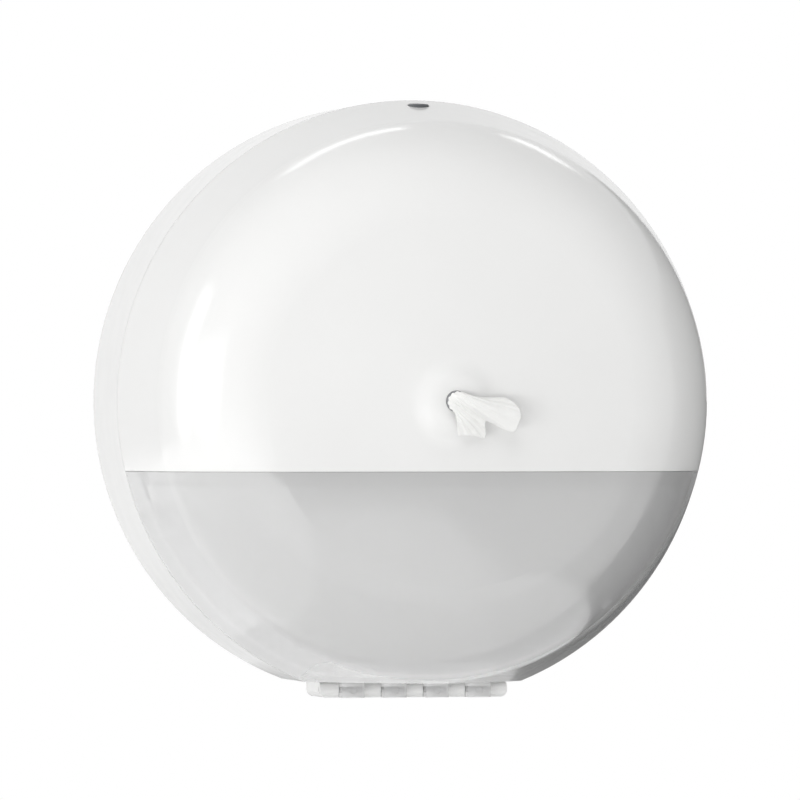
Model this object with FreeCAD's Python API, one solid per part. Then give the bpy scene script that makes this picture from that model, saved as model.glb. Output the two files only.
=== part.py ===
import FreeCAD, Part
import math
import os

# Centre-pull toilet paper dispenser for a wall: a white dish holds one large coreless roll,
# and a domed cover, white above and translucent grey below, swings down on a hinge at its foot.
# Lengths are millimetres. The origin is on the wall, on the roll's axis.
# X runs to the right seen from the front, Y into the wall and Z up. A depth is measured from
# the wall towards the room, so it is minus Y.

# Case, driving dimensions
case_radius = 134.5        # largest radius, at the seam between dish and cover
wall_draft = 0.7           # how much less the dish measures in radius at the wall
seam_depth = 62.0          # depth of the seam
seam_gap = 0.3             # gap between dish and cover at the seam
front_depth = 149.0        # depth of the domed front, without its nozzle boss
front_radius = 600.0       # gentle dome of the front
edge_radius = 50.0         # round edge between front and side
side_taper = 13.0          # degrees, cover side to the roll's axis
case_wall = 2.5            # wall of dish side, cover and window
flat_rise = 9.4            # flat underside, above the lowest point of the round case
split_drop = 31.0          # level line between white cover and grey window, below the axis
split_gap = 0.2            # joint line between cover and window
cut_overrun = 5.0          # every cut runs this far past what it cuts

# Boss round the nozzle
boss_foot_radius = 21.0
boss_top_radius = 7.5
boss_rise = 3.6

# Dish
back_wall = 3.0            # floor of the dish, flat against the wall
lip_length = 4.0           # lip that stands into the cover past the seam
lip_root = 6.0             # lip's rooting inside the dish
lip_wall = 1.6
lip_clearance = 0.4        # cover's inner face to the lip
stop_ring_radius = 62.0    # low ring that the roll's back rests against
stop_ring_wall = 3.0
stop_ring_height = 3.0
screw_inset_x = 42.5       # four wall screws in a rectangle, sideways in from the case's radius
screw_inset_z = 52.5       # the same, upright
screw_hole_radius = 2.75
screw_pad_radius = 7.0
screw_pad_height = 2.0

# Hinge at the foot
hinge_setback = 2.0        # pin behind the seam
barrel_radius = 3.4
hinge_gap = 0.25           # knuckles to the flat underside
knuckle_pitch = 19.2       # one white and one grey knuckle
window_knuckle_width = 10.2
knuckle_side_gap = 0.25
window_knuckles = 4
knuckle_block_reach = 28.0  # white knuckle's block, from the pin back along the underside
end_corner_radius = 3.0    # rounded lower corner of the two outermost knuckles
strap_reach = 9.0          # grey knuckle's strap, from the pin forward along the underside
dimple_radius = 1.7        # round dimple in the strap's front
dimple_depth = 0.8
opening_stop = 112.0       # degrees, where the toe of a white knuckle stops the cover
pin_radius = 1.25
pin_running_clearance = 0.06
pin_fixed_clearance = 0.02
pin_end_recess = 0.8

# Window
lap_height = 9.0           # lap behind the white cover, above the joint line
lap_root = 6.0             # lap's rooting on the window, below the joint line
lap_wall = 1.8
lap_clearance = 0.15
lap_sink = 0.4             # how deep lap and corner pads are rooted in the window's wall
lap_seam_clearance = 1.5   # lap's start, past the end of the dish's lip
corner_pad_length = 7.0    # thick pad at each upper corner of the window, along the depth
corner_pad_height = 12.6
corner_pad_wall = 2.6
foot_rib_half_width = 37.0  # stiffening rib across the window's floor, close to the hinge
foot_rib_height = 6.0
foot_rib_wall = 2.2

# Roll
roll_side_room = 43.5      # roll to the case's radius
roll_front_room = 14.7     # roll to the domed front
roll_bore_radius = 27.0
roll_clearance = 0.3       # roll to cradle and to stop ring
strand_tip_radius = 2.4
strand_funnel_gap = 2.4    # strand's tip behind the funnel
strand_length = 44.0       # drawn-out cone of tissue in the roll's bore
strand_collar = 3.0        # straight foot of that cone

# Cradle
cradle_wall = 2.4
cradle_front_depth = 80.0
cradle_half_angle = 77.5   # degrees each way from straight down
cradle_flange_width = 15.0
cradle_flange_wall = 2.4
cradle_rib_width = 23.3    # broad stiffening rib, seen through the window as a pale band
cradle_rib_share = 0.75    # front face of that rib, as a share of the trough's front depth
boss_height = 7.0          # inner bosses of the dish, above its floor
boss_radius = 4.5
cradle_screw_angles = (-58.0, -20.0, 20.0, 58.0)  # degrees from straight down

# Small screws
thread_radius = 1.5
thread_clearance = 0.05    # thread to its hole
thread_length = 8.0
head_radius = 3.0
head_height = 2.0
drive_radius = 1.1         # round recess for the driver
drive_depth = 1.1

# Nozzle
ring_radius = 4.6
ring_wall = 1.3
ring_stand = 0.8           # ring in front of its boss
ring_hole_clearance = 0.1
ring_lip_radius = 0.5      # rounding at the ring's mouth
nozzle_flange_radius = 14.6
nozzle_flange_wall = 1.5
nozzle_gap = 0.1           # between the stacked nozzle pieces
collar_clearance = 0.2     # nozzle pieces to the cover's collar
collar_wall = 2.0
funnel_length = 6.2
funnel_mouth_radius = 9.4
funnel_wall = 1.4
nut_height = 3.4
nut_clearance = 0.4        # funnel's mouth to the nut's bore
nut_notch_width = 3.0
nut_notch_depth = 1.2
nut_notches = 6

# Lock, at the top of the cover
lock_reach = 11.0          # button's axis in front of the seam
button_radius = 4.75
button_clearance = 0.08
button_stand = 0.5         # button proud of the cover
button_travel = 2.5
button_flange_step = 1.45
button_flange_wall = 1.8
button_edge_radius = 0.8
key_slot_length = 5.0
key_slot_width = 1.4
key_slot_depth = 2.0
stem_radius = 2.2
housing_roof_gap = 0.37    # under the cover's inner face
housing_roof_wall = 1.6
housing_half_width = 10.0
housing_cheek = 2.0
housing_clearance = 1.8    # button's flange to the housing's front
housing_room = 8.9         # between roof and shelf
housing_shelf_wall = 1.5
housing_shelf_reach = 5.0  # shelf's back, behind the button's axis
housing_skirt = 9.6        # cheeks and front, below the shelf
flange_roof_gap = 0.1      # button's flange under the housing's roof
stem_clearance = 0.4       # stem in the shelf's hole
ear_offset = 16.5          # screw axis of each housing ear, sideways
ear_radius = 4.5
ear_wall = 2.5
ear_rise = 1.0             # ear's top above the shelf
ear_setout = 3.0           # ear's screw in front of the button's axis
ear_post_radius = 4.0      # post under the cover's top

# Latch
latch_arm_reach = 6.5      # pivot behind the button's axis
latch_pivot_drop = 5.5     # pivot below the shelf
latch_cheek = 2.9          # cheek's back edge behind the pivot
latch_pin_radius = 1.5
latch_hub_radius = 3.2
latch_half_width = 4.0
latch_arm_wall = 3.2
latch_front_reach = 9.5    # pushed arm, from the pivot
latch_hook_reach = 19.0    # hook's back, from the pivot towards the wall
latch_hook_wall = 2.6
latch_hook_drop = 4.8      # hook's point, below the pivot
latch_ramp = 1.6           # slanted nose of the hook
stem_latch_gap = 0.3

# Strike
strike_wall = 1.5
strike_half_width = 12.0
strike_shelf_drop = 7.0    # shelf below the latch's pivot
strike_lip_height = 5.4
strike_hook_gap = 0.5      # hook behind the strike's lip
strike_flange_rise = 16.0  # flange above the shelf
strike_screw_offset = 7.0
strike_screw_rise = 9.0    # screws above the shelf
strike_bend_radius = 0.6

# Lock spring
spring_radius = 3.6        # middle of the wire
spring_wire_radius = 0.45
spring_turns = 3
spring_end_gap = 0.15

# Tissue tail: sheet thickness and the shares of its reach that place its folds
tail_reach = 26.0          # petal, sideways from the nozzle's axis
tail_fall = 16.0           # hanging fold, below the nozzle's axis
tail_sheet = 0.9
tail_neck_clearance = 0.6  # neck in the ring's bore
tail_stand = 8.0           # how far the crown of the tail stands out of the ring
# each petal section: sideways, upper edge, lower edge, depth past the ring, bulge, as shares of
# reach, fall, fall, stand and stand
petal_section_shares = (
    (0.06, 0.14, -0.16, 0.45, 0.16),
    (0.40, 0.15, -0.50, 0.88, 0.34),
    (0.74, 0.10, -0.70, 0.74, 0.40),
    (1.00, -0.24, -0.80, 0.30, 0.26),
)
# each section of the hanging fold: height, left edge, right edge, depth past the ring, bulge, as
# shares of fall, reach, reach, stand and stand
fold_section_shares = (
    (-0.02, -0.08, 0.09, 0.42, 0.14),
    (-0.50, -0.01, 0.24, 0.40, 0.24),
    (-1.00, 0.03, 0.45, 0.16, 0.30),
)

taper = math.radians(side_taper)
wall_radius = case_radius - wall_draft
flat_drop = case_radius - flat_rise
hinge_depth = seam_depth - hinge_setback
hinge_drop = flat_drop + barrel_radius + hinge_gap
roll_radius = case_radius - roll_side_room
roll_back = back_wall + stop_ring_height + roll_clearance
roll_front = front_depth - roll_front_room
cradle_rib_depth = cradle_front_depth * cradle_rib_share
ring_bore_radius = ring_radius - ring_wall
button_flange_radius = button_radius + button_flange_step
lock_depth = seam_depth + lock_reach
housing_front_depth = lock_depth + button_flange_radius + housing_clearance + housing_cheek
ear_depth = lock_depth + ear_setout
latch_pivot_depth = lock_depth - latch_arm_reach
dish_front = seam_depth - seam_gap / 2
cover_back = seam_depth + seam_gap / 2
boss_top_depth = front_depth + boss_rise
boss_seat = back_wall + boss_height
thread_hole_radius = thread_radius + thread_clearance
RIGHT = FreeCAD.Vector(1, 0, 0)
ROOM = FreeCAD.Vector(0, -1, 0)
UP = FreeCAD.Vector(0, 0, 1)
AXIS_POINT = FreeCAD.Vector(0, 0, 0)


def at(x, depth, z):
    """Point from its side offset, its depth from the wall and its height."""
    return FreeCAD.Vector(x, -depth, z)


def block(x0, x1, depth0, depth1, z0, z1):
    """Box between two offsets, two depths and two heights."""
    return Part.makeBox(x1 - x0, depth1 - depth0, z1 - z0, at(x0, depth1, z0))


def rod(radius, depth0, depth1, x=0, z=0):
    """Round bar along the depth."""
    return Part.makeCylinder(radius, depth1 - depth0, at(x, depth0, z), ROOM)


def post(radius, z0, z1, x, depth):
    """Upright round bar."""
    return Part.makeCylinder(radius, z1 - z0, at(x, depth, z0), UP)


def cross_bar(radius, x0, x1, depth, z):
    """Round bar from left to right."""
    return Part.makeCylinder(radius, x1 - x0, at(x0, depth, z), RIGHT)


def tube(outer, inner, depth0, depth1):
    """Ring round the roll's axis."""
    return rod(outer, depth0, depth1).cut(rod(inner, depth0 - cut_overrun, depth1 + cut_overrun))


def spun(edges):
    """Solid of revolution round the roll's axis."""
    return Part.Face(Part.Wire(edges)).revolve(AXIS_POINT, ROOM, 360)


def line(a, b):
    """Straight edge between two points."""
    return Part.LineSegment(a, b).toShape()


def polyline(points):
    """Closed chain of straight edges."""
    return [line(a, b) for a, b in zip(points, points[1:] + points[:1])]


def arc_about(radius_at, depth_at, radius, angle0, angle1):
    """Arc in the profile plane. Angles turn from the radial direction towards the room."""
    points = []
    for angle in (angle0, (angle0 + angle1) / 2, angle1):
        points.append(at(radius_at + radius * math.cos(angle), depth_at + radius * math.sin(angle), 0))
    return Part.Arc(*points).toShape()


def below(shape, drop):
    """Cuts off what lies lower than a drop under the roll's axis."""
    low = -case_radius - cut_overrun
    size = case_radius + cut_overrun
    deep = 2 * front_depth
    return shape.cut(block(-size, size, -cut_overrun, deep, low, -drop))


def edge_centre():
    """Radius and depth of the centre of the cover's round edge, tangent to front and side."""
    span = case_radius * math.cos(taper) + seam_depth * math.sin(taper) - edge_radius
    foot = (span * math.cos(taper), span * math.sin(taper))
    dome = front_depth - front_radius
    reach = front_radius - edge_radius
    middle = -foot[0] * math.sin(taper) + (foot[1] - dome) * math.cos(taper)
    rest = foot[0] ** 2 + (foot[1] - dome) ** 2 - reach ** 2
    along = -middle + math.sqrt(middle ** 2 - rest)
    return foot[0] - along * math.sin(taper), foot[1] + along * math.cos(taper)


def cover_radius(depth, offset):
    """Radius of the cover's tapered side at a depth, offset inwards."""
    return case_radius - (depth - seam_depth) * math.tan(taper) - offset / math.cos(taper)


lock_ceiling = cover_radius(housing_front_depth, case_wall)
housing_roof_top = math.sqrt(lock_ceiling ** 2 - housing_half_width ** 2) - housing_roof_gap
housing_shelf_top = housing_roof_top - housing_roof_wall - housing_room
housing_low = housing_shelf_top - housing_shelf_wall - housing_skirt
ear_top = housing_shelf_top + ear_rise
button_top = cover_radius(lock_depth, 0) + button_stand
latch_pivot_height = housing_shelf_top - housing_shelf_wall - latch_pivot_drop
strike_shelf_top = latch_pivot_height - strike_shelf_drop


def cover_form(offset, with_boss=False):
    """Solid inside the cover's outer face, offset inwards, from the seam to the front."""
    centre_r, centre_d = edge_centre()
    dome = front_depth - front_radius
    meet = math.atan2(centre_d - dome, centre_r)
    dome_radius = front_radius - offset
    small = edge_radius - offset
    front = at(0, front_depth - offset, 0)
    front_end = math.pi / 2
    edges = []
    if with_boss:
        rise_end = math.sqrt(dome_radius ** 2 - boss_foot_radius ** 2) + dome
        front = at(0, boss_top_depth, 0)
        front_end = math.acos(boss_foot_radius / dome_radius)
        edges += boss_edges(rise_end)
    edges.append(arc_about(0, dome, dome_radius, front_end, meet))
    edges.append(arc_about(centre_r, centre_d, small, meet, taper))
    side_start = at(centre_r + small * math.cos(taper), centre_d + small * math.sin(taper), 0)
    side_end = at(cover_radius(cover_back, offset), cover_back, 0)
    edges.append(line(side_start, side_end))
    edges.append(line(side_end, at(0, cover_back, 0)))
    edges.append(line(at(0, cover_back, 0), front))
    return below(spun(edges), flat_drop - offset)


def boss_edges(foot_depth):
    """Profile of the boss: flat top, then two arcs that turn down to its foot."""
    run = boss_foot_radius - boss_top_radius
    rise = boss_top_depth - foot_depth
    bend = (run ** 2 + rise ** 2) / (4 * rise)
    half = math.asin(run / (2 * bend))
    top_arc = arc_about(boss_top_radius, boss_top_depth - bend, bend, math.pi / 2, math.pi / 2 - half)
    turn = 3 * math.pi / 2
    foot_arc = arc_about(boss_foot_radius, foot_depth + bend, bend, turn - half, turn)
    flat = line(at(0, boss_top_depth, 0), at(boss_top_radius, boss_top_depth, 0))
    return [flat, top_arc, foot_arc]


def dish_form(offset, depth0):
    """Solid inside the dish's outer face, offset inwards, from a depth to the seam."""
    back = wall_radius - offset
    front = case_radius - offset
    points = [at(0, depth0, 0), at(back, depth0, 0), at(front, dish_front, 0), at(0, dish_front, 0)]
    return below(spun(polyline(points)), flat_drop - offset)


def knuckle_places():
    """Side offsets of the grey and of the white knuckles."""
    grey = [(i - (window_knuckles - 1) / 2) * knuckle_pitch for i in range(window_knuckles)]
    white = [(i - window_knuckles / 2) * knuckle_pitch for i in range(window_knuckles + 1)]
    return grey, white


white_knuckle_width = knuckle_pitch - window_knuckle_width - 2 * knuckle_side_gap
outer_knuckle_end = knuckle_places()[1][-1] + white_knuckle_width / 2


def stop_toe_reach():
    """How far a white knuckle's toe stands in front of the pin, so that the window meets it."""
    angle = math.radians(opening_stop)
    gap = barrel_radius + hinge_gap
    along = (gap * math.cos(angle) + barrel_radius) / math.sin(angle)
    return along * math.cos(angle) + gap * math.sin(angle)


def white_knuckle(x):
    """One knuckle of the dish: barrel, block along the underside and the toe that stops the cover."""
    x0 = x - white_knuckle_width / 2
    x1 = x + white_knuckle_width / 2
    low = -hinge_drop - barrel_radius
    shape = cross_bar(barrel_radius, x0, x1, hinge_depth, -hinge_drop)
    block_back = hinge_depth - knuckle_block_reach
    shape = shape.fuse(block(x0, x1, block_back, hinge_depth, low, -flat_drop + case_wall / 2))
    shape = shape.fuse(block(x0, x1, hinge_depth, hinge_depth + stop_toe_reach(), low, -hinge_drop))
    return shape.cut(pin_bore(pin_fixed_clearance, x0, x1))


def pin_bore(clearance, x0, x1):
    """Waste of the hinge pin's hole through one knuckle."""
    return cross_bar(pin_radius + clearance, x0 - cut_overrun, x1 + cut_overrun, hinge_depth, -hinge_drop)


def rounded_end(side):
    """Waste under the outer lower corner of an end knuckle."""
    edge = side * outer_knuckle_end
    centre = edge - side * end_corner_radius
    low = -hinge_drop - barrel_radius
    x0, x1 = sorted((centre, edge + side * cut_overrun))
    depth0 = hinge_depth - knuckle_block_reach - cut_overrun
    depth1 = hinge_depth + strap_reach
    waste = block(x0, x1, depth0, depth1, low - cut_overrun, low + end_corner_radius)
    return waste.cut(rod(end_corner_radius, depth0, depth1, centre, low + end_corner_radius))


def cradle_screw_places():
    """Side offset and height of each cradle screw."""
    middle = roll_radius + roll_clearance + cradle_wall + cradle_flange_width / 2
    places = []
    for angle in cradle_screw_angles:
        turn = math.radians(angle)
        places.append((middle * math.sin(turn), -middle * math.cos(turn)))
    return places


def strike_screw_places():
    """Side offset and height of each strike screw."""
    height = strike_shelf_top + strike_screw_rise
    return [(-strike_screw_offset, height), (strike_screw_offset, height)]


def make_back_plate():
    """White dish: floor, rim, lip, stop ring, bosses, wall screw holes and hinge knuckles."""
    mouth = rod(case_radius - case_wall, dish_front - case_wall, dish_front + cut_overrun)
    hollow = dish_form(case_wall, back_wall).fuse(below(mouth, flat_drop - case_wall))
    shape = dish_form(0, 0).cut(hollow)
    lip_end = seam_depth + lip_length
    lip_offset = case_radius - cover_radius(lip_end, case_wall + lip_clearance)
    lip_flat = flat_drop - case_wall - lip_clearance
    lip_radius = case_radius - lip_offset
    lip_back = dish_front - lip_root
    lip = below(rod(lip_radius, lip_back, lip_end), lip_flat)
    root = below(rod(case_radius - case_wall / 2, lip_back, dish_front), flat_drop - case_wall / 2)
    lip_bore = rod(lip_radius - lip_wall, lip_back - cut_overrun, lip_end + cut_overrun)
    shape = shape.fuse(root.fuse(lip).cut(below(lip_bore, lip_flat - lip_wall)))
    ring_out = stop_ring_radius + stop_ring_wall
    shape = shape.fuse(tube(ring_out, stop_ring_radius, back_wall / 2, back_wall + stop_ring_height))
    for x, z in cradle_screw_places() + strike_screw_places():
        shape = shape.fuse(rod(boss_radius, back_wall / 2, boss_seat, x, z))
    for x, z in cradle_screw_places():
        shape = shape.cut(thread_hole(x, z, cradle_flange_wall))
    for x, z in strike_screw_places():
        shape = shape.cut(thread_hole(x, z, strike_wall))
    for x in (screw_inset_x - case_radius, case_radius - screw_inset_x):
        for z in (screw_inset_z - case_radius, case_radius - screw_inset_z):
            shape = shape.fuse(rod(screw_pad_radius, back_wall / 2, back_wall + screw_pad_height, x, z))
            hole_end = back_wall + screw_pad_height + cut_overrun
            shape = shape.cut(rod(screw_hole_radius, -cut_overrun, hole_end, x, z))
    for x in knuckle_places()[1]:
        shape = shape.fuse(white_knuckle(x))
    for side in (-1, 1):
        shape = shape.cut(rounded_end(side))
    return shape.removeSplitter()


def thread_hole(x, z, held_wall):
    """Blind hole in a boss of the dish's floor, for a small screw that holds a wall on the boss."""
    deep = boss_seat + held_wall - thread_length - thread_clearance
    return rod(thread_hole_radius, deep, boss_seat + cut_overrun, x, z)


def make_screw(seat, direction):
    """Small screw with a round drive recess, its head on a seat and its thread along a direction."""
    head = Part.makeCylinder(head_radius, head_height, seat, -direction)
    thread = Part.makeCylinder(thread_radius, thread_length, seat, direction)
    start = seat - direction * (head_height + cut_overrun)
    recess = Part.makeCylinder(drive_radius, drive_depth + cut_overrun, start, direction)
    return head.fuse(thread).cut(recess)


def sector(half_angle, reach, depth0, depth1):
    """Wedge each side of straight down, for the cradle."""
    points = [AXIS_POINT]
    for share in (-1, 0, 1):
        turn = math.radians(half_angle) * share
        points.append(FreeCAD.Vector(reach * math.sin(turn), 0, -reach * math.cos(turn)))
    edges = [line(points[0], points[1]), Part.Arc(*points[1:]).toShape(), line(points[3], points[0])]
    face = Part.Face(Part.Wire(edges))
    face.translate(at(0, depth0, 0))
    return face.extrude(ROOM * (depth1 - depth0))


def make_roll_cradle():
    """Trough under the roll, with a flange on the dish's bosses and a stiffening rib."""
    inner = roll_radius + roll_clearance
    outer = inner + cradle_wall
    flange = outer + cradle_flange_width
    rib_edge = outer + cradle_rib_width
    shape = tube(outer, inner, boss_seat, cradle_front_depth)
    shape = shape.fuse(tube(flange, inner, boss_seat, boss_seat + cradle_flange_wall))
    rib = tube(rib_edge, inner, cradle_rib_depth - cradle_flange_wall, cradle_rib_depth)
    shape = shape.fuse(rib)
    shape = shape.common(sector(cradle_half_angle, 2 * rib_edge, 0, front_depth))
    for x, z in cradle_screw_places():
        past = boss_seat + cradle_flange_wall + cut_overrun
        shape = shape.cut(rod(thread_hole_radius, boss_seat - cut_overrun, past, x, z))
    return shape.removeSplitter()


def make_cradle_screws():
    """The cradle's screws."""
    seat = boss_seat + cradle_flange_wall
    return Part.makeCompound([make_screw(at(x, seat, z), -ROOM) for x, z in cradle_screw_places()])


strike_lip_front = latch_pivot_depth - latch_hook_reach + latch_hook_wall + strike_hook_gap + strike_wall


def make_strike_bracket():
    """Bent steel strike: flange on the bosses, shelf over the roll, upturned lip."""
    low = strike_shelf_top - strike_wall
    width = strike_half_width
    flange_top = strike_shelf_top + strike_flange_rise
    flange = block(-width, width, boss_seat, boss_seat + strike_wall, low, flange_top)
    shelf = block(-width, width, boss_seat, strike_lip_front, low, strike_shelf_top)
    lip_top = strike_shelf_top + strike_lip_height
    lip = block(-width, width, strike_lip_front - strike_wall, strike_lip_front, low, lip_top)
    shape = flange.fuse(shelf).fuse(lip).removeSplitter()
    bends = [e for e in shape.Edges if is_bend(e, low)]
    shape = shape.makeFillet(strike_bend_radius, bends)
    for x, z in strike_screw_places():
        past = boss_seat + strike_wall + cut_overrun
        shape = shape.cut(rod(thread_hole_radius, boss_seat - cut_overrun, past, x, z))
    return shape


def is_bend(edge, low):
    """True for the two long edges under the strike's bends."""
    ends = [v.Point for v in edge.Vertexes]
    along = abs(ends[0].x - ends[1].x) > strike_half_width
    return along and all(abs(p.z - low) < strike_wall / 2 for p in ends)


def make_strike_screws():
    """The strike's screws."""
    seat = boss_seat + strike_wall
    return Part.makeCompound([make_screw(at(x, seat, z), -ROOM) for x, z in strike_screw_places()])


def make_hinge_pin():
    """Steel rod through all knuckles."""
    half = outer_knuckle_end - pin_end_recess
    return cross_bar(pin_radius, -half, half, hinge_depth, -hinge_drop)


def make_paper_roll():
    """Coreless roll."""
    return tube(roll_radius, roll_bore_radius, roll_back, roll_front)


def make_tissue_strand():
    """Tissue drawn out of the roll's bore towards the nozzle."""
    foot_radius = roll_bore_radius - roll_clearance
    tip_depth = funnel_front - funnel_length - strand_funnel_gap
    foot_depth = tip_depth - strand_length
    points = [
        at(0, foot_depth, 0),
        at(foot_radius, foot_depth, 0),
        at(foot_radius, foot_depth + strand_collar, 0),
        at(strand_tip_radius, tip_depth, 0),
        at(0, tip_depth, 0),
    ]
    return spun(polyline(points))


def cover_shell():
    """Whole domed cover with its flat foot, before it is split into white cover and window."""
    mouth = rod(cover_radius(seam_depth, case_wall), dish_front - cut_overrun, cover_back)
    hollow = cover_form(case_wall).fuse(below(mouth, flat_drop - case_wall))
    return cover_form(0, with_boss=True).cut(hollow)


collar_radius = nozzle_flange_radius + collar_clearance
dome_reach = math.sqrt((front_radius - case_wall) ** 2 - collar_radius ** 2)
nozzle_seat = front_depth - front_radius + dome_reach
ring_flange_front = nozzle_seat - nozzle_gap
funnel_front = ring_flange_front - nozzle_flange_wall - nozzle_gap
nut_front = funnel_front - nozzle_flange_wall - nozzle_gap
collar_back = nut_front - nut_height


def make_upper_cover(shell):
    """White upper cover: dome above the joint line, nozzle collar, lock hole and posts."""
    size = case_radius + cut_overrun
    keep = block(-size, size, 0, boss_top_depth + cut_overrun, -split_drop + split_gap / 2, size)
    shape = shell.common(keep)
    collar_front = nozzle_seat + case_wall / 2
    shape = shape.fuse(tube(collar_radius + collar_wall, collar_radius, collar_back, collar_front))
    shape = shape.cut(rod(ring_radius + ring_hole_clearance, collar_back, boss_top_depth + cut_overrun))
    roof = cover_form(case_wall / 2)
    hole_top = ear_top - ear_wall + thread_length + thread_clearance
    for side in (-1, 1):
        x = side * ear_offset
        shape = shape.fuse(post(ear_post_radius, ear_top, case_radius, x, ear_depth).common(roof))
        shape = shape.cut(post(thread_hole_radius, ear_top - cut_overrun, hole_top, x, ear_depth))
    hole_radius = button_radius + button_clearance
    shape = shape.cut(post(hole_radius, housing_roof_top, case_radius + cut_overrun, 0, lock_depth))
    return shape.removeSplitter()


def window_knuckle(x):
    """One grey knuckle: barrel on the pin and a strap forward along the window's underside."""
    x0 = x - window_knuckle_width / 2
    x1 = x + window_knuckle_width / 2
    low = -hinge_drop - barrel_radius
    shape = cross_bar(barrel_radius, x0, x1, hinge_depth, -hinge_drop)
    shape = shape.fuse(block(x0, x1, hinge_depth, cover_back, low, -hinge_drop))
    front = hinge_depth + strap_reach
    shape = shape.fuse(block(x0, x1, cover_back, front, low, -flat_drop + case_wall / 2))
    dimple = rod(dimple_radius, front - dimple_depth, front + cut_overrun, x, -hinge_drop)
    return shape.cut(pin_bore(pin_running_clearance, x0, x1)).cut(dimple)


def make_window(shell):
    """Grey window: dome below the joint line, lap behind the cover, corner pads and knuckles."""
    size = case_radius + cut_overrun
    top = -split_drop - split_gap / 2
    shape = shell.common(block(-size, size, 0, front_depth + cut_overrun, -size, top))
    lap_back = seam_depth + lip_length + lap_seam_clearance
    lap_end = front_depth + cut_overrun
    lap_inner = cover_form(case_wall + lap_clearance + lap_wall)
    rooted = cover_form(case_wall - lap_sink).cut(lap_inner)
    free = cover_form(case_wall + lap_clearance).cut(lap_inner)
    lap_top = top + lap_height
    shape = shape.fuse(rooted.common(block(-size, size, lap_back, lap_end, top - lap_root, top)))
    shape = shape.fuse(free.common(block(-size, size, lap_back, lap_end, top - lap_clearance, lap_top)))
    pads = cover_form(case_wall - lap_sink).cut(cover_form(case_wall + corner_pad_wall))
    pad_end = lap_back + corner_pad_length
    shape = shape.fuse(pads.common(block(-size, size, lap_back, pad_end, top - corner_pad_height, top)))
    floor = -flat_drop + case_wall
    rib_end = lap_back + foot_rib_wall
    rib_half = foot_rib_half_width
    rib_top = floor + foot_rib_height
    shape = shape.fuse(block(-rib_half, rib_half, lap_back, rib_end, floor - lap_sink, rib_top))
    for x in knuckle_places()[0]:
        shape = shape.fuse(window_knuckle(x))
    return shape.removeSplitter()


def make_nozzle_ring():
    """Grey outlet ring, with a flange behind the cover and a rounded mouth."""
    front = boss_top_depth + ring_stand
    back = ring_flange_front - nozzle_flange_wall
    points = [
        at(ring_bore_radius, back, 0),
        at(nozzle_flange_radius, back, 0),
        at(nozzle_flange_radius, ring_flange_front, 0),
        at(ring_radius, ring_flange_front, 0),
        at(ring_radius, front, 0),
        at(ring_bore_radius, front, 0),
    ]
    shape = spun(polyline(points))
    mouth = [e for e in shape.Edges if is_rim(e, front)]
    return shape.makeFillet(ring_lip_radius, mouth)


def is_rim(edge, depth):
    """True for a round edge at a depth."""
    return len(edge.Vertexes) == 1 and abs(edge.Vertexes[0].Point.y + depth) < ring_lip_radius / 2


def make_nozzle_funnel():
    """Funnel that gathers the tissue into the ring."""
    back = funnel_front - funnel_length
    flange_back = funnel_front - nozzle_flange_wall
    neck = ring_bore_radius
    points = [
        at(neck, funnel_front, 0),
        at(nozzle_flange_radius, funnel_front, 0),
        at(nozzle_flange_radius, flange_back, 0),
        at(funnel_mouth_radius + funnel_wall, flange_back, 0),
        at(funnel_mouth_radius + funnel_wall, back, 0),
        at(funnel_mouth_radius, back, 0),
    ]
    edges = [line(a, b) for a, b in zip(points, points[1:])]
    turn = funnel_mouth_radius - neck
    half = math.sqrt(0.5)
    middle = at(funnel_mouth_radius - turn * half, funnel_front - funnel_length * half, 0)
    edges.append(Part.Arc(points[-1], middle, points[0]).toShape())
    return spun(edges)


def make_nozzle_nut():
    """Ring nut in the collar, with notches for its spanner."""
    back = nut_front - nut_height
    bore = funnel_mouth_radius + funnel_wall + nut_clearance
    shape = tube(nozzle_flange_radius, bore, back, nut_front)
    for i in range(nut_notches):
        notch = block(bore - cut_overrun, nozzle_flange_radius + cut_overrun, back - cut_overrun,
                      back + nut_notch_depth, -nut_notch_width / 2, nut_notch_width / 2)
        notch.rotate(AXIS_POINT, ROOM, 360 * i / nut_notches)
        shape = shape.cut(notch)
    return shape


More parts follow.
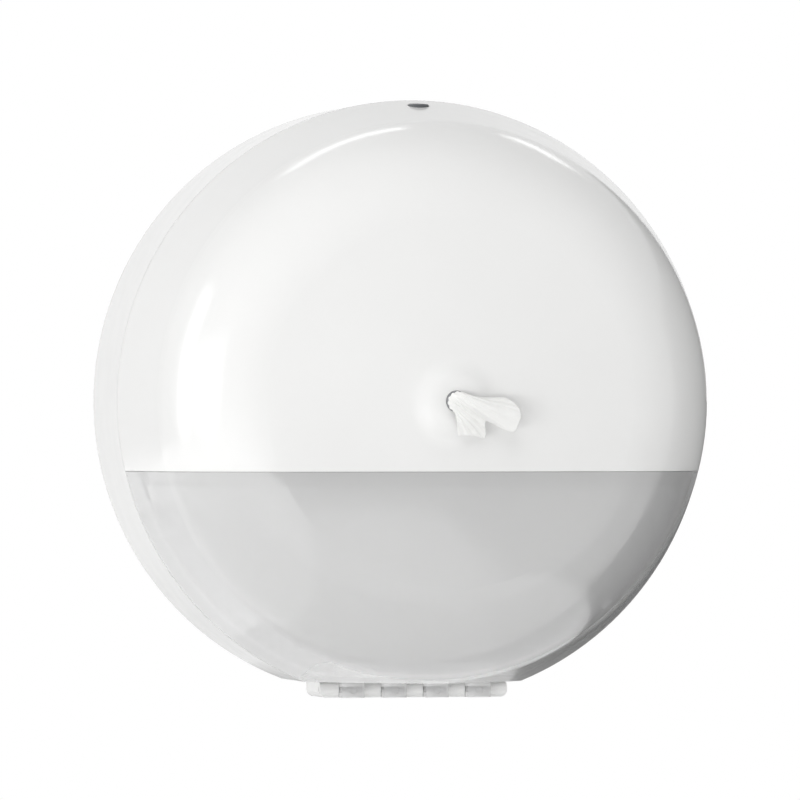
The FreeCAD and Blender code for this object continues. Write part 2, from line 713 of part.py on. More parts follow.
def make_lock_housing():
    """Open frame of the lock: cheeks, roof, shelf for the spring, front and screw ears."""
    width = housing_half_width
    front = housing_front_depth
    back = latch_pivot_depth - latch_cheek
    shape = block(-width, width, back, front, housing_low, housing_roof_top)
    inner = width - housing_cheek
    inner_back = back - cut_overrun
    inner_end = front - housing_cheek
    roof_low = housing_roof_top - housing_roof_wall
    roof_past = housing_roof_top + cut_overrun
    shelf_low = housing_shelf_top - housing_shelf_wall
    shelf_past = housing_shelf_top + cut_overrun
    shape = shape.cut(block(-inner, inner, inner_back, inner_end, housing_shelf_top, roof_low))
    shape = shape.cut(block(-inner, inner, inner_back, inner_end, housing_low - cut_overrun, shelf_low))
    shelf_back = lock_depth - housing_shelf_reach
    shape = shape.cut(block(-inner, inner, inner_back, shelf_back, shelf_low, roof_past))
    for side in (-1, 1):
        x = side * ear_offset
        reach = sorted((side * (width - housing_cheek / 2), x))
        ear = block(*reach, ear_depth - ear_radius, ear_depth + ear_radius, ear_top - ear_wall, ear_top)
        shape = shape.fuse(ear.fuse(post(ear_radius, ear_top - ear_wall, ear_top, x, ear_depth)))
        hole_low = ear_top - ear_wall - cut_overrun
        shape = shape.cut(post(thread_hole_radius, hole_low, ear_top + cut_overrun, x, ear_depth))
    button_hole = button_radius + button_clearance
    shape = shape.cut(post(button_hole, roof_low - cut_overrun, roof_past, 0, lock_depth))
    stem_hole = stem_radius + stem_clearance
    shape = shape.cut(post(stem_hole, shelf_low - cut_overrun, shelf_past, 0, lock_depth))
    shape = shape.cut(pivot_bar(latch_pin_radius + pin_fixed_clearance, width + cut_overrun))
    return shape.removeSplitter()


def pivot_bar(radius, half_width):
    """Round bar on the latch's pivot, as far to the left as to the right."""
    return cross_bar(radius, -half_width, half_width, latch_pivot_depth, latch_pivot_height)


def make_lock_screws():
    """Screws that hold the lock's housing to the cover's posts."""
    seats = [at(side * ear_offset, ear_depth, ear_top - ear_wall) for side in (-1, 1)]
    return Part.makeCompound([make_screw(seat, UP) for seat in seats])


def make_latch_pin():
    """Pivot of the latch, held in the housing's cheeks."""
    return pivot_bar(latch_pin_radius, housing_half_width)


button_flange_top = housing_roof_top - housing_roof_wall - flange_roof_gap
stem_low = latch_pivot_height + latch_hub_radius + stem_latch_gap


def make_lock_button():
    """Push button with a key slot, a flange under the housing's roof and a round-ended stem."""
    flange_low = button_flange_top - button_flange_wall
    shape = post(button_radius, flange_low, button_top, 0, lock_depth)
    top = [e for e in shape.Edges if abs(e.BoundBox.ZMin - button_top) < button_edge_radius / 2]
    shape = shape.makeFillet(button_edge_radius, top)
    shape = shape.fuse(post(button_flange_radius, flange_low, button_flange_top, 0, lock_depth))
    shape = shape.fuse(post(stem_radius, stem_low + stem_radius, flange_low, 0, lock_depth))
    shape = shape.fuse(Part.makeSphere(stem_radius, at(0, lock_depth, stem_low + stem_radius)))
    half = key_slot_length / 2
    slot_back = lock_depth - key_slot_width / 2
    slot_low = button_top - key_slot_depth
    slot = block(-half, half, slot_back, slot_back + key_slot_width, slot_low, button_top + cut_overrun)
    return shape.cut(slot).removeSplitter()


def make_lock_latch():
    """Rocking lever: hub on its pin, arm under the button's stem and a hook behind the strike."""
    top = latch_pivot_height + latch_hub_radius
    arm_low = top - latch_arm_wall
    back = latch_pivot_depth - latch_hook_reach
    hook_front = back + latch_hook_wall
    hook_low = latch_pivot_height - latch_hook_drop
    front = latch_pivot_depth + latch_front_reach
    outline = [
        (back, top),
        (front, top),
        (front, arm_low),
        (hook_front, arm_low),
        (hook_front, hook_low + latch_ramp),
        (hook_front - latch_ramp, hook_low),
        (back, hook_low),
    ]
    points = [at(-latch_half_width, depth, z) for depth, z in outline]
    lever = Part.Face(Part.Wire(polyline(points))).extrude(RIGHT * (2 * latch_half_width))
    hub = pivot_bar(latch_hub_radius, latch_half_width)
    bore = pivot_bar(latch_pin_radius + pin_running_clearance, latch_half_width + cut_overrun)
    return lever.fuse(hub).cut(bore).removeSplitter()


def helix_point(turn, radius, low, rise):
    """Point and direction on the spring's middle line after a number of turns."""
    angle = 2 * math.pi * turn
    round_x = radius * math.cos(angle)
    round_y = radius * math.sin(angle)
    way = FreeCAD.Vector(-2 * math.pi * round_y, 2 * math.pi * round_x, rise)
    return FreeCAD.Vector(round_x, round_y, low + rise * turn), way.normalize()


def least_coil_gap(length):
    """Smallest gap between neighbouring coils of the spring at a length, measured on its middle line."""
    steps = 72
    rise = length / spring_turns
    places = [helix_point(i / steps, spring_radius, 0, rise)[0] for i in range(steps * spring_turns + 1)]
    first = places[:steps]
    gaps = [p.distanceToPoint(q) for i, p in enumerate(first) for q in places[i + steps // 2:]]
    return min(gaps) - 2 * spring_wire_radius


def biarc(start, start_way, end, end_way):
    """Two tangent arcs that join two points in two directions."""
    gap = end - start
    both = start_way + end_way
    a = both.dot(both) - 4
    b = -2 * gap.dot(both)
    c = gap.dot(gap)
    reach = (-b - math.sqrt(b * b - 4 * a * c)) / (2 * a)
    reach = max(reach, (-b + math.sqrt(b * b - 4 * a * c)) / (2 * a))
    knee0 = start + start_way * reach
    knee1 = end - end_way * reach
    middle = (knee0 + knee1) * 0.5
    return [tangent_arc(start, knee0, middle), tangent_arc(middle, knee1, end)]


def tangent_arc(start, knee, end):
    """Arc from start to end whose tangents meet at the knee."""
    chord = (start + end) * 0.5
    half = (end - start).Length / 2
    height = (knee - chord).Length
    leg = (knee - start).Length
    sag = half * (leg - half) / height
    return Part.Arc(start, chord + (knee - chord).normalize() * sag, end).toShape()


def make_lock_spring():
    """Coil spring between the housing's shelf and the button's flange."""
    low = housing_shelf_top + spring_end_gap + spring_wire_radius
    high = button_flange_top - button_flange_wall - spring_end_gap - spring_wire_radius
    length = high - low
    rise = length / spring_turns
    quarters = 4 * spring_turns
    knots = [helix_point(i / 4, spring_radius, low, rise) for i in range(quarters + 1)]
    edges = []
    for (p, way), (q, way_next) in zip(knots, knots[1:]):
        edges += biarc(p, way, q, way_next)
    path = Part.Wire(edges)
    first, first_way = knots[0]
    ring = Part.Wire(Part.Circle(first, first_way, spring_wire_radius).toShape())
    spring = path.makePipeShell([ring], True, False)
    spring.translate(at(0, lock_depth, 0))
    print("lock spring, least gap to itself in mm:", round(least_coil_gap(length), 3))
    print("the same with the button pressed:", round(least_coil_gap(length - button_travel), 3))
    return spring


ring_front = boss_top_depth + ring_stand


def sheet_section(first, last, bulge_way, bulge, back_way):
    """Closed outline of a bent sheet: a front arc, a back arc and two short ends."""
    middle = (first + last) * 0.5 + bulge_way * bulge
    behind = back_way * tail_sheet
    front = Part.Arc(first, middle, last).toShape()
    end = line(last, last + behind)
    back = Part.Arc(last + behind, middle + behind, first + behind).toShape()
    return Part.Wire([front, end, back, line(first + behind, first)])


def make_tissue_tail():
    """End of tissue: neck in the nozzle, a petal lying to the right and a fold hanging below."""
    petal = []
    for side_share, top_share, low_share, out_share, bulge_share in petal_section_shares:
        x = tail_reach * side_share
        depth = ring_front + tail_stand * out_share
        first = at(x, depth, tail_fall * top_share)
        last = at(x, depth, tail_fall * low_share)
        petal.append(sheet_section(first, last, ROOM, tail_stand * bulge_share, -ROOM))
    fold = []
    for height_share, left_share, right_share, out_share, bulge_share in fold_section_shares:
        z = tail_fall * height_share
        depth = ring_front + tail_stand * out_share
        first = at(tail_reach * left_share, depth, z)
        last = at(tail_reach * right_share, depth, z)
        fold.append(sheet_section(first, last, ROOM, tail_stand * bulge_share, -ROOM))
    neck_back = funnel_front - nozzle_flange_wall
    neck_front = ring_front + tail_stand * petal_section_shares[0][3]
    shape = rod(ring_bore_radius - tail_neck_clearance, neck_back, neck_front)
    shape = shape.fuse(Part.makeLoft(petal, True, False))
    shape = shape.fuse(Part.makeLoft(fold, True, False))
    return shape.removeSplitter()


def main():
    """Builds every piece and writes each to its own file."""
    os.makedirs("parts", exist_ok=True)
    shell = cover_shell()
    pieces = {
        "back_plate": make_back_plate(),
        "roll_cradle": make_roll_cradle(),
        "cradle_screws": make_cradle_screws(),
        "strike_bracket": make_strike_bracket(),
        "strike_screws": make_strike_screws(),
        "hinge_pin": make_hinge_pin(),
        "paper_roll": make_paper_roll(),
        "tissue_strand": make_tissue_strand(),
        "upper_cover": make_upper_cover(shell),
        "window": make_window(shell),
        "nozzle_ring": make_nozzle_ring(),
        "nozzle_funnel": make_nozzle_funnel(),
        "nozzle_nut": make_nozzle_nut(),
        "lock_housing": make_lock_housing(),
        "lock_screws": make_lock_screws(),
        "latch_pin": make_latch_pin(),
        "lock_spring": make_lock_spring(),
        "tissue_tail": make_tissue_tail(),
        "lock_button": make_lock_button(),
        "lock_latch": make_lock_latch(),
    }
    for name, shape in pieces.items():
        print(f"{name}: solids {len(shape.Solids)} valid {shape.isValid()} volume {shape.Volume:.1f}")
        shape.exportStep(f"parts/{name}.step")


main()
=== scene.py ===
"""Centre-pull toilet paper dispenser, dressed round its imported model.

Every object is in metres in the model's own frame: the origin is on the wall on the roll's axis,
X runs to the right, Y into the wall and Z up, so that a depth in front of the wall is minus Y.
"""
import logging
import math
from dataclasses import dataclass
from enum import Enum
from typing import Any, Optional, Sequence

import bmesh
import bpy
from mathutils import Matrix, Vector, noise


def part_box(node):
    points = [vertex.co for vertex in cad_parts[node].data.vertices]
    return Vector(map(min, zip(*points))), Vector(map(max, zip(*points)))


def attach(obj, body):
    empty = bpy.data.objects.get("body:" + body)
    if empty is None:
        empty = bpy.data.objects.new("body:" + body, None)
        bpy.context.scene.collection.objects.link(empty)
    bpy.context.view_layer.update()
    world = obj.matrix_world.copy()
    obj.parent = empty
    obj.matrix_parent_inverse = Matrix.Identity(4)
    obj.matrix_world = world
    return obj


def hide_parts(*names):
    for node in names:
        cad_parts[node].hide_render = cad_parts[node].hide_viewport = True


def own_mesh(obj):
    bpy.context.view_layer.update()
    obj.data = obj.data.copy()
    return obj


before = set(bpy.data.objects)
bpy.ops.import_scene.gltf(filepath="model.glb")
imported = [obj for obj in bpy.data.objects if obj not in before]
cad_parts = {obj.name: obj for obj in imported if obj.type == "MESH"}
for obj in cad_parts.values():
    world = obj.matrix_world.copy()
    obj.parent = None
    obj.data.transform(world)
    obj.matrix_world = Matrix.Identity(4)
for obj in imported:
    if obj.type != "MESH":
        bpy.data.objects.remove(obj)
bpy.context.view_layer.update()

LOG = logging.getLogger("dispenser")
MM = 0.001
WHITE = (1.0, 1.0, 1.0, 1.0)
# Sockets of Blender's mix node that hold colours.
MIX_FIRST, MIX_SECOND, MIX_RESULT = 6, 7, 2
# Range that most of a noise pattern lies in.
NOISE_RANGE = (0.3, 0.7)
# Blender's wave pattern repeats after a full turn divided by this and by its scale.
WAVE_FACTOR = 20
# Makes share * (1 - share) ** 2 peak at one.
CROWN_FACTOR = 27 / 4
# Studio heights: the floor, the mat just above it and the panels above both.
FLOOR_Z = -0.30
MAT_Z = FLOOR_Z + 2 * MM
PANEL_Z = FLOOR_Z + 10 * MM

Point = tuple[float, float, float]
Colour = tuple[float, float, float, float]
Tree = bpy.types.NodeTree
Socket = bpy.types.NodeSocket


class Body(Enum):
    """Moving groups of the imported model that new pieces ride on."""

    BASE = "base"
    COVER = "cover"


class Slot(Enum):
    """Material slots of the record that the new pieces belong to."""

    TISSUE = "tissue"
    SPRING = "spring_steel"


class Reach(Enum):
    """Surfaces that a lamp reaches: it lights dull ones, shows in glossy ones, or does both."""

    DULL = "dull"
    GLOSS = "gloss"
    BOTH = "both"


def linear(hex_colour: str) -> Colour:
    """Turns an sRGB hex colour into linear RGBA.

    Args:
        hex_colour: Six hex digits.

    Returns:
        Linear red, green, blue and an alpha of one.
    """
    parts = [int(hex_colour[i:i + 2], 16) / 255 for i in (0, 2, 4)]
    lin = [c / 12.92 if c <= 0.04045 else ((c + 0.055) / 1.055) ** 2.4 for c in parts]
    return lin[0], lin[1], lin[2], 1.0


def add(tree: Tree, kind: str, links: Optional[dict[Any, Any]] = None,
        **settings: Any) -> bpy.types.Node:
    """Adds one node with its settings, its input values and its links.

    Args:
        tree: Tree that gets the node.
        kind: Blender's type name of the node.
        links: Input name or index to a value, or to an output socket that feeds it.
        settings: Attributes of the node.

    Returns:
        The new node.
    """
    node = tree.nodes.new(kind)
    for name, value in settings.items():
        setattr(node, name, value)
    for key, value in (links or {}).items():
        if isinstance(value, Socket):
            tree.links.new(value, node.inputs[key])
        else:
            node.inputs[key].default_value = value
    return node


def maths(tree: Tree, operation: str, *values: Any) -> Socket:
    """Adds one calculation and gives its result."""
    return add(tree, "ShaderNodeMath", dict(enumerate(values)), operation=operation).outputs[0]


def cloud(tree: Tree, place: Socket, size_mm: float, detail: float) -> Socket:
    """Adds a noise pattern.

    Args:
        tree: Tree that gets it.
        place: Coordinates in metres.
        size_mm: Size of its patches in millimetres.
        detail: How many finer layers it has.

    Returns:
        The pattern's value.
    """
    links = {"Vector": place, "Scale": 1 / (size_mm * MM), "Detail": detail}
    return add(tree, "ShaderNodeTexNoise", links).outputs["Fac"]


def blend(tree: Tree, share: Socket, first: Any, second: Any) -> Socket:
    """Adds a mix of two colours.

    Args:
        tree: Tree that gets it.
        share: How much of the second colour it takes.
        first: Colour or socket at a share of zero.
        second: Colour or socket at a share of one.

    Returns:
        The mixed colour.
    """
    links = {0: share, MIX_FIRST: first, MIX_SECOND: second}
    return add(tree, "ShaderNodeMix", links, data_type="RGBA").outputs[MIX_RESULT]


def remap(tree: Tree, value: Socket, source: tuple[float, float],
          target: tuple[float, float]) -> Socket:
    """Adds a change of range.

    Args:
        tree: Tree that gets it.
        value: What is changed.
        source: Range that it comes from.
        target: Range that it goes to.

    Returns:
        The changed value.
    """
    links = {"Value": value, "From Min": source[0], "From Max": source[1],
             "To Min": target[0], "To Max": target[1]}
    return add(tree, "ShaderNodeMapRange", links).outputs[0]


def dent(tree: Tree, height: Socket, depth_mm: float, strength: float = 1.0,
         normal: Optional[Socket] = None) -> Socket:
    """Adds a bump.

    Args:
        tree: Tree that gets it.
        height: Pattern of the bump.
        depth_mm: Its depth in millimetres.
        strength: How much it counts.
        normal: Normal that it starts from, if not the surface's own.

    Returns:
        The bumped normal.
    """
    links = {"Height": height, "Strength": strength, "Distance": depth_mm * MM}
    if normal is not None:
        links["Normal"] = normal
    return add(tree, "ShaderNodeBump", links).outputs[0]


def seen_rays(tree: Tree) -> Socket:
    """Tells what the eye sees, straight, in gloss or through glass, from what only lights.

    Args:
        tree: Tree that gets the nodes.

    Returns:
        One for rays of the first kind, else zero.
    """
    path = add(tree, "ShaderNodeLightPath").outputs
    seen = maths(tree, "MAXIMUM", path["Is Camera Ray"], path["Is Glossy Ray"])
    return maths(tree, "MAXIMUM", seen, path["Is Transmission Ray"])


def smooth(share: float) -> float:
    """Eases a share from 0 to 1 in and out."""
    share = min(max(share, 0.0), 1.0)
    return share * share * (3 - 2 * share)


def table_value(table: Sequence[Sequence[float]], place: float, column: int) -> float:
    """Reads a column of a table by smooth cubic interpolation over its evenly spaced rows.

    Args:
        table: Rows of numbers.
        place: Place along the table, from 0 to 1.
        column: Which number of the rows.

    Returns:
        The value at that place.
    """
    reach = min(max(place, 0.0), 1.0) * (len(table) - 1)
    low = min(int(reach), len(table) - 2)
    rows = [table[min(max(low + k, 0), len(table) - 1)][column] for k in (-1, 0, 1, 2)]
    t = reach - low
    a = 2 * rows[1]
    b = rows[2] - rows[0]
    c = 2 * rows[0] - 5 * rows[1] + 4 * rows[2] - rows[3]
    d = -rows[0] + 3 * rows[1] - 3 * rows[2] + rows[3]
    return 0.5 * (a + b * t + c * t * t + d * t ** 3)


@dataclass(frozen=True)
class Finish:
    """A surface: what it is made of and how it was made."""

    name: str
    colour: str
    shade: str
    roughness: float
    ior: float = 1.5
    gloss_shares: tuple[float, float] = (0.85, 1.15)

    def tone(self, tree: Tree, pattern: Socket) -> Socket:
        """Mixes the two colours by a pattern."""
        return blend(tree, pattern, linear(self.colour), linear(self.shade))

    def gloss(self, tree: Tree, pattern: Socket) -> Socket:
        """Spreads the roughness by a pattern."""
        low, high = (self.roughness * share for share in self.gloss_shares)
        return remap(tree, pattern, NOISE_RANGE, (low, high))

    def shader(self, tree: Tree, place: Socket) -> Socket:
        """Builds the surface shader.

        Args:
            tree: The material's tree.
            place: Object coordinates.

        Returns:
            The shader's output.
        """
        raise NotImplementedError

    def material(self) -> bpy.types.Material:
        """Makes the material, or gives the one made before.

        Returns:
            The material.
        """
        made = bpy.data.materials.get(self.name)
        if made:
            return made
        made = bpy.data.materials.new(self.name)
        made.use_nodes = True
        tree = made.node_tree
        tree.nodes.clear()
        place = add(tree, "ShaderNodeTexCoord").outputs["Object"]
        add(tree, "ShaderNodeOutputMaterial", {"Surface": self.shader(tree, place)})
        return made


@dataclass(frozen=True)
class MouldedPlastic(Finish):
    """Moulded plastic: slow flow shading, a skin of uneven gloss and softly broken edges."""

    flow_mm: float = 60.0
    wear_mm: float = 15.0
    ripple_mm: float = 22.0
    ripple_height_mm: float = 0.01
    grain_mm: float = 0.9
    grain_height_mm: float = 0.0
    edge_mm: float = 0.35
    edge_samples: int = 4
    alpha: float = 1.0
    specular: float = 0.5
    coat: float = 0.0
    coat_roughness: float = 0.06

    def shader(self, tree: Tree, place: Socket) -> Socket:
        """Builds the plastic.

        Args:
            tree: The material's tree.
            place: Object coordinates.

        Returns:
            The shader's output.
        """
        flow = cloud(tree, place, self.flow_mm, detail=2.0)
        wear = cloud(tree, place, self.wear_mm, detail=4.0)
        edge = add(tree, "ShaderNodeBevel", {"Radius": self.edge_mm * MM},
                   samples=self.edge_samples).outputs[0]
        ripple = cloud(tree, place, self.ripple_mm, detail=1.0)
        normal = dent(tree, ripple, self.ripple_height_mm, normal=edge)
        if self.grain_height_mm > 0:
            grain = cloud(tree, place, self.grain_mm, detail=2.0)
            normal = dent(tree, grain, self.grain_height_mm, normal=normal)
        return add(tree, "ShaderNodeBsdfPrincipled", {
            "Base Color": self.tone(tree, flow), "Roughness": self.gloss(tree, wear),
            "IOR": self.ior, "Normal": normal, "Alpha": self.alpha,
            "Specular IOR Level": self.specular, "Coat Weight": self.coat,
            "Coat Roughness": self.coat_roughness}).outputs[0]


@dataclass(frozen=True)
class StudioVinyl(MouldedPlastic):
    """Pale sweep of the studio: dull vinyl, lifted towards white where it is seen."""

    lift: float = 0.6

    def shader(self, tree: Tree, place: Socket) -> Socket:
        """Builds the floor, which keeps its shadows.

        Args:
            tree: The material's tree.
            place: Object coordinates.

        Returns:
            The shader's output.
        """
        dull = super().shader(tree, place)
        white = add(tree, "ShaderNodeEmission", {"Color": WHITE, "Strength": 1.0}).outputs[0]
        lifted = maths(tree, "MULTIPLY", seen_rays(tree), self.lift)
        return add(tree, "ShaderNodeMixShader", {0: lifted, 1: dull, 2: white}).outputs[0]


@dataclass(frozen=True)
class PlatedMetal(Finish):
    """Metal with a thin plating or a drawn skin: fine streaks and patches of haze."""

    gloss_shares: tuple[float, float] = (0.8, 1.3)
    streak_mm: float = 0.6
    streak_height_mm: float = 0.02
    streak_strength: float = 0.3
    haze_mm: float = 6.0

    def shader(self, tree: Tree, place: Socket) -> Socket:
        """Builds the metal.

        Args:
            tree: The material's tree.
            place: Object coordinates.

        Returns:
            The shader's output.
        """
        haze = cloud(tree, place, self.haze_mm, detail=3.0)
        streak = cloud(tree, place, self.streak_mm, detail=2.0)
        normal = dent(tree, streak, self.streak_height_mm, self.streak_strength)
        return add(tree, "ShaderNodeBsdfPrincipled", {
            "Base Color": self.tone(tree, haze), "Metallic": 1.0,
            "Roughness": self.gloss(tree, haze), "Normal": normal}).outputs[0]


@dataclass(frozen=True)
class CrepedTissue(Finish):
    """Soft creped tissue: cross ripples from the creping blade and a cloudy sheet of fibres;
    wound, it gets painted shade between its layers as darker rings.
    """

    crepe_mm: float = 0.8
    crepe_height_mm: float = 0.12
    crepe_strength: float = 0.6
    fibres_mm: float = 7.0
    sheen: float = 0.2
    winding_mm: float = 0.0
    # Colour, width and strength of the painted shade that darkens the gaps between wound layers.
    gap_shade_colour: str = "C9C9C5"
    gap_shade_width: float = 0.35
    gap_shade_strength: float = 0.55

    def rings(self, tree: Tree, place: Socket) -> Socket:
        """Paints shade in the gaps between the wound layers as darker rings on faces that look
        along the roll's axis.

        Args:
            tree: The material's tree.
            place: Object coordinates.

        Returns:
            How strongly the painted shade of a ring shows.
        """
        wave = add(tree, "ShaderNodeTexWave", {
            "Vector": place, "Scale": math.tau / (WAVE_FACTOR * self.winding_mm * MM),
            "Distortion": 1.2, "Detail": 2.0, "Detail Scale": 0.4},
            wave_type="RINGS", rings_direction="Y").outputs["Fac"]
        line = remap(tree, wave, (0.0, self.gap_shade_width), (self.gap_shade_strength, 0.0))
        facing = add(tree, "ShaderNodeTexCoord").outputs["Normal"]
        along = add(tree, "ShaderNodeSeparateXYZ", {0: facing}).outputs["Y"]
        return maths(tree, "MULTIPLY", line, maths(tree, "MULTIPLY", along, along))

    def shader(self, tree: Tree, place: Socket) -> Socket:
        """Builds the tissue.

        Args:
            tree: The material's tree.
            place: Object coordinates.

        Returns:
            The shader's output.
        """
        tone = self.tone(tree, cloud(tree, place, self.fibres_mm, detail=5.0))
        # Painted shade: darker rings where the gaps between the wound layers fall in shade.
        if self.winding_mm > 0:
            tone = blend(tree, self.rings(tree, place), tone, linear(self.gap_shade_colour))
        crepe = cloud(tree, place, self.crepe_mm, detail=3.0)
        normal = dent(tree, crepe, self.crepe_height_mm, self.crepe_strength)
        return add(tree, "ShaderNodeBsdfPrincipled", {
            "Base Color": tone, "Roughness": self.roughness, "IOR": self.ior, "Normal": normal,
            "Sheen Weight": self.sheen}).outputs[0]


# ABS in a polished mould: bright white with a clear, slightly wavy gloss.
WHITE_ABS = MouldedPlastic("white_abs_polished", "F3F3F2", "EEEEED", 0.16, 1.53)
# ABS in a sparked mould: the same white, dull and finely grained, on the inner mouldings.
INNER_ABS = MouldedPlastic("white_abs_satin", "EFEFED", "E8E8E5", 0.42, 1.53,
                           grain_height_mm=0.01)
# Milky grey SAN in a polished mould: even grey, through which roll and cradle show faintly.
GREY_SAN = MouldedPlastic("milky_grey_san_polished", "E6E6E6", "E0E0E0", 0.13, 1.56,
                          alpha=0.52, specular=1.0, coat=0.8)
# Acetal: waxy, dull grey on the outlet ring and waxy white on the funnel and its nut.
GREY_ACETAL = MouldedPlastic("grey_acetal_satin", "8D8F92", "85878A", 0.35, 1.48,
                             grain_height_mm=0.008)
WHITE_ACETAL = MouldedPlastic("white_acetal_satin", "E6E6E3", "DFDFDC", 0.38, 1.48,
                              grain_height_mm=0.008)
# Filled nylon: dark grey with a dry grain, on the button and the latch.
DARK_NYLON = MouldedPlastic("dark_grey_nylon_satin", "57595C", "505255", 0.4, 1.53,
                            grain_height_mm=0.01)
# Zinc on steel: bright, bluish, hazy. Drawn wire: darker, with fine streaks.
ZINC_STEEL = PlatedMetal("zinc_plated_steel", "C2C4C6", "B6B9BC", 0.3)
SPRING_WIRE = PlatedMetal("drawn_spring_steel", "A9ABAD", "9FA1A3", 0.25, streak_mm=0.3)
# Creped tissue: soft white, dull, with fine cross ripples.
TISSUE = CrepedTissue("creped_tissue_soft", "F7F7F5", "EDEDEB", 0.9)
# The same tissue wound up, with painted shade in the gaps between layers: thin darker rings, about
# ten times as coarse as the sheet, so that they show.
WOUND_TISSUE = CrepedTissue("creped_tissue_wound", "F7F7F5", "EDEDEB", 0.9, winding_mm=2.4)
# Studio boards: matt vinyl on the floor, grey cloth on the flag, dark felt on mat and screen.
FLOOR_VINYL = StudioVinyl("pale_vinyl_matt", "F1F1F1", "EEEEEE", 0.7, 1.45)
FLAG_CLOTH = MouldedPlastic("grey_cloth_matt", "9A9A9A", "949494", 0.9, 1.4)
MAT_FELT = MouldedPlastic("dark_felt_matt", "5A5A5A", "545454", 0.9, 1.4)


def dress(node: str, finish: Finish) -> None:
    """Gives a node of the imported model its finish.

    Args:
        node: The node's name.
        finish: The surface it gets.
    """
    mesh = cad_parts[node].data
    mesh.materials.clear()
    mesh.materials.append(finish.material())
    LOG.info("%s: %s", node, finish.name)


def settle(piece: bpy.types.Object, body: Body, slot: Slot, *nodes: str) -> None:
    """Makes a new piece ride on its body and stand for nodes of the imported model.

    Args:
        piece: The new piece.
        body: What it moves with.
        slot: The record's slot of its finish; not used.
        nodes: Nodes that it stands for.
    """
    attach(piece, body.value)
    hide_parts(*nodes)
    LOG.info("%s: %d faces, on %s", piece.name, len(piece.data.polygons), body.value)


def new_object(name: str, data: Any) -> bpy.types.Object:
    """Links a new object to the scene.

    Args:
        name: The object's name.
        data: Its mesh, lamp or camera.

    Returns:
        The object.
    """
    made = bpy.data.objects.new(name, data)
    bpy.context.scene.collection.objects.link(made)
    return made


def bake(piece: bpy.types.Object) -> None:
    """Turns a piece's modifiers into a plain mesh with faces outward.

    Args:
        piece: The piece.
    """
    graph = bpy.context.evaluated_depsgraph_get()
    made = bpy.data.meshes.new_from_object(piece.evaluated_get(graph))
    piece.modifiers.clear()
    piece.data = made
    work = bmesh.new()
    work.from_mesh(made)
    bmesh.ops.recalc_face_normals(work, faces=work.faces)
    work.to_mesh(made)
    work.free()


def new_tree(name: str, inputs: dict[str, str]) -> Tree:
    """Starts a Geometry Nodes tree.

    Args:
        name: The tree's name.
        inputs: Names and kinds of its inputs.

    Returns:
        The tree, with one mesh as its output.
    """
    tree = bpy.data.node_groups.new(name, "GeometryNodeTree")
    for label, kind in inputs.items():
        tree.interface.new_socket(name=label, in_out="INPUT", socket_type=f"NodeSocket{kind}")
    tree.interface.new_socket(name="Mesh", in_out="OUTPUT", socket_type="NodeSocketGeometry")
    return tree


def hand_out(tree: Tree, shape: Socket, material: Socket) -> None:
    """Smooths, realizes and dresses a tree's shape, and makes it the output.

    Args:
        tree: The tree.
        shape: Its shape.
        material: What the shape is made of.
    """
    soft = add(tree, "GeometryNodeSetShadeSmooth", {"Geometry": shape, "Shade Smooth": True})
    real = add(tree, "GeometryNodeRealizeInstances", {"Geometry": soft.outputs[0]})
    links = {"Geometry": real.outputs[0], "Material": material}
    add(tree, "NodeGroupOutput", {0: add(tree, "GeometryNodeSetMaterial", links).outputs[0]})


def grow(piece: bpy.types.Object, tree: Tree, values: dict[str, Any]) -> None:
    """Runs a tree on a piece and keeps the result as a plain mesh.

    Args:
        piece: The piece.
        tree: The tree.
        values: Values of its named inputs.
    """
    modifier = piece.modifiers.new(tree.name, "NODES")
    modifier.node_group = tree
    for item in tree.interface.items_tree:
        if item.in_out == "INPUT" and item.name in values:
            modifier[item.identifier] = values[item.name]
    bake(piece)


@dataclass
class Dressed:
    """A sub-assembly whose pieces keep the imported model's shapes and get their finishes."""

    pieces: tuple[tuple[str, Finish], ...] = ()

    def build(self) -> None:
        """Dresses the pieces."""
        for node, finish in self.pieces:
            dress(node, finish)


@dataclass
class Dish(Dressed):
    """What stays on the wall: dish, cradle, strike, their screws and the hinge pin."""

    pieces: tuple[tuple[str, Finish], ...] = (
        ("back_plate", WHITE_ABS), ("roll_cradle", INNER_ABS), ("cradle_screws", ZINC_STEEL),
        ("strike_bracket", ZINC_STEEL), ("strike_screws", ZINC_STEEL), ("hinge_pin", ZINC_STEEL))


@dataclass
class Cover(Dressed):
    """The hinged front: white dome, grey window and the outlet."""

    pieces: tuple[tuple[str, Finish], ...] = (
        ("upper_cover", WHITE_ABS), ("window", GREY_SAN), ("nozzle_ring", GREY_ACETAL),
        ("nozzle_funnel", WHITE_ACETAL), ("nozzle_nut", WHITE_ACETAL))


@dataclass
class Lock(Dressed):
    """The lock under the cover's top: frame, button, latch and their small parts."""

    pieces: tuple[tuple[str, Finish], ...] = (
        ("lock_housing", INNER_ABS), ("lock_screws", ZINC_STEEL), ("latch_pin", ZINC_STEEL),
        ("lock_button", DARK_NYLON), ("lock_latch", DARK_NYLON))


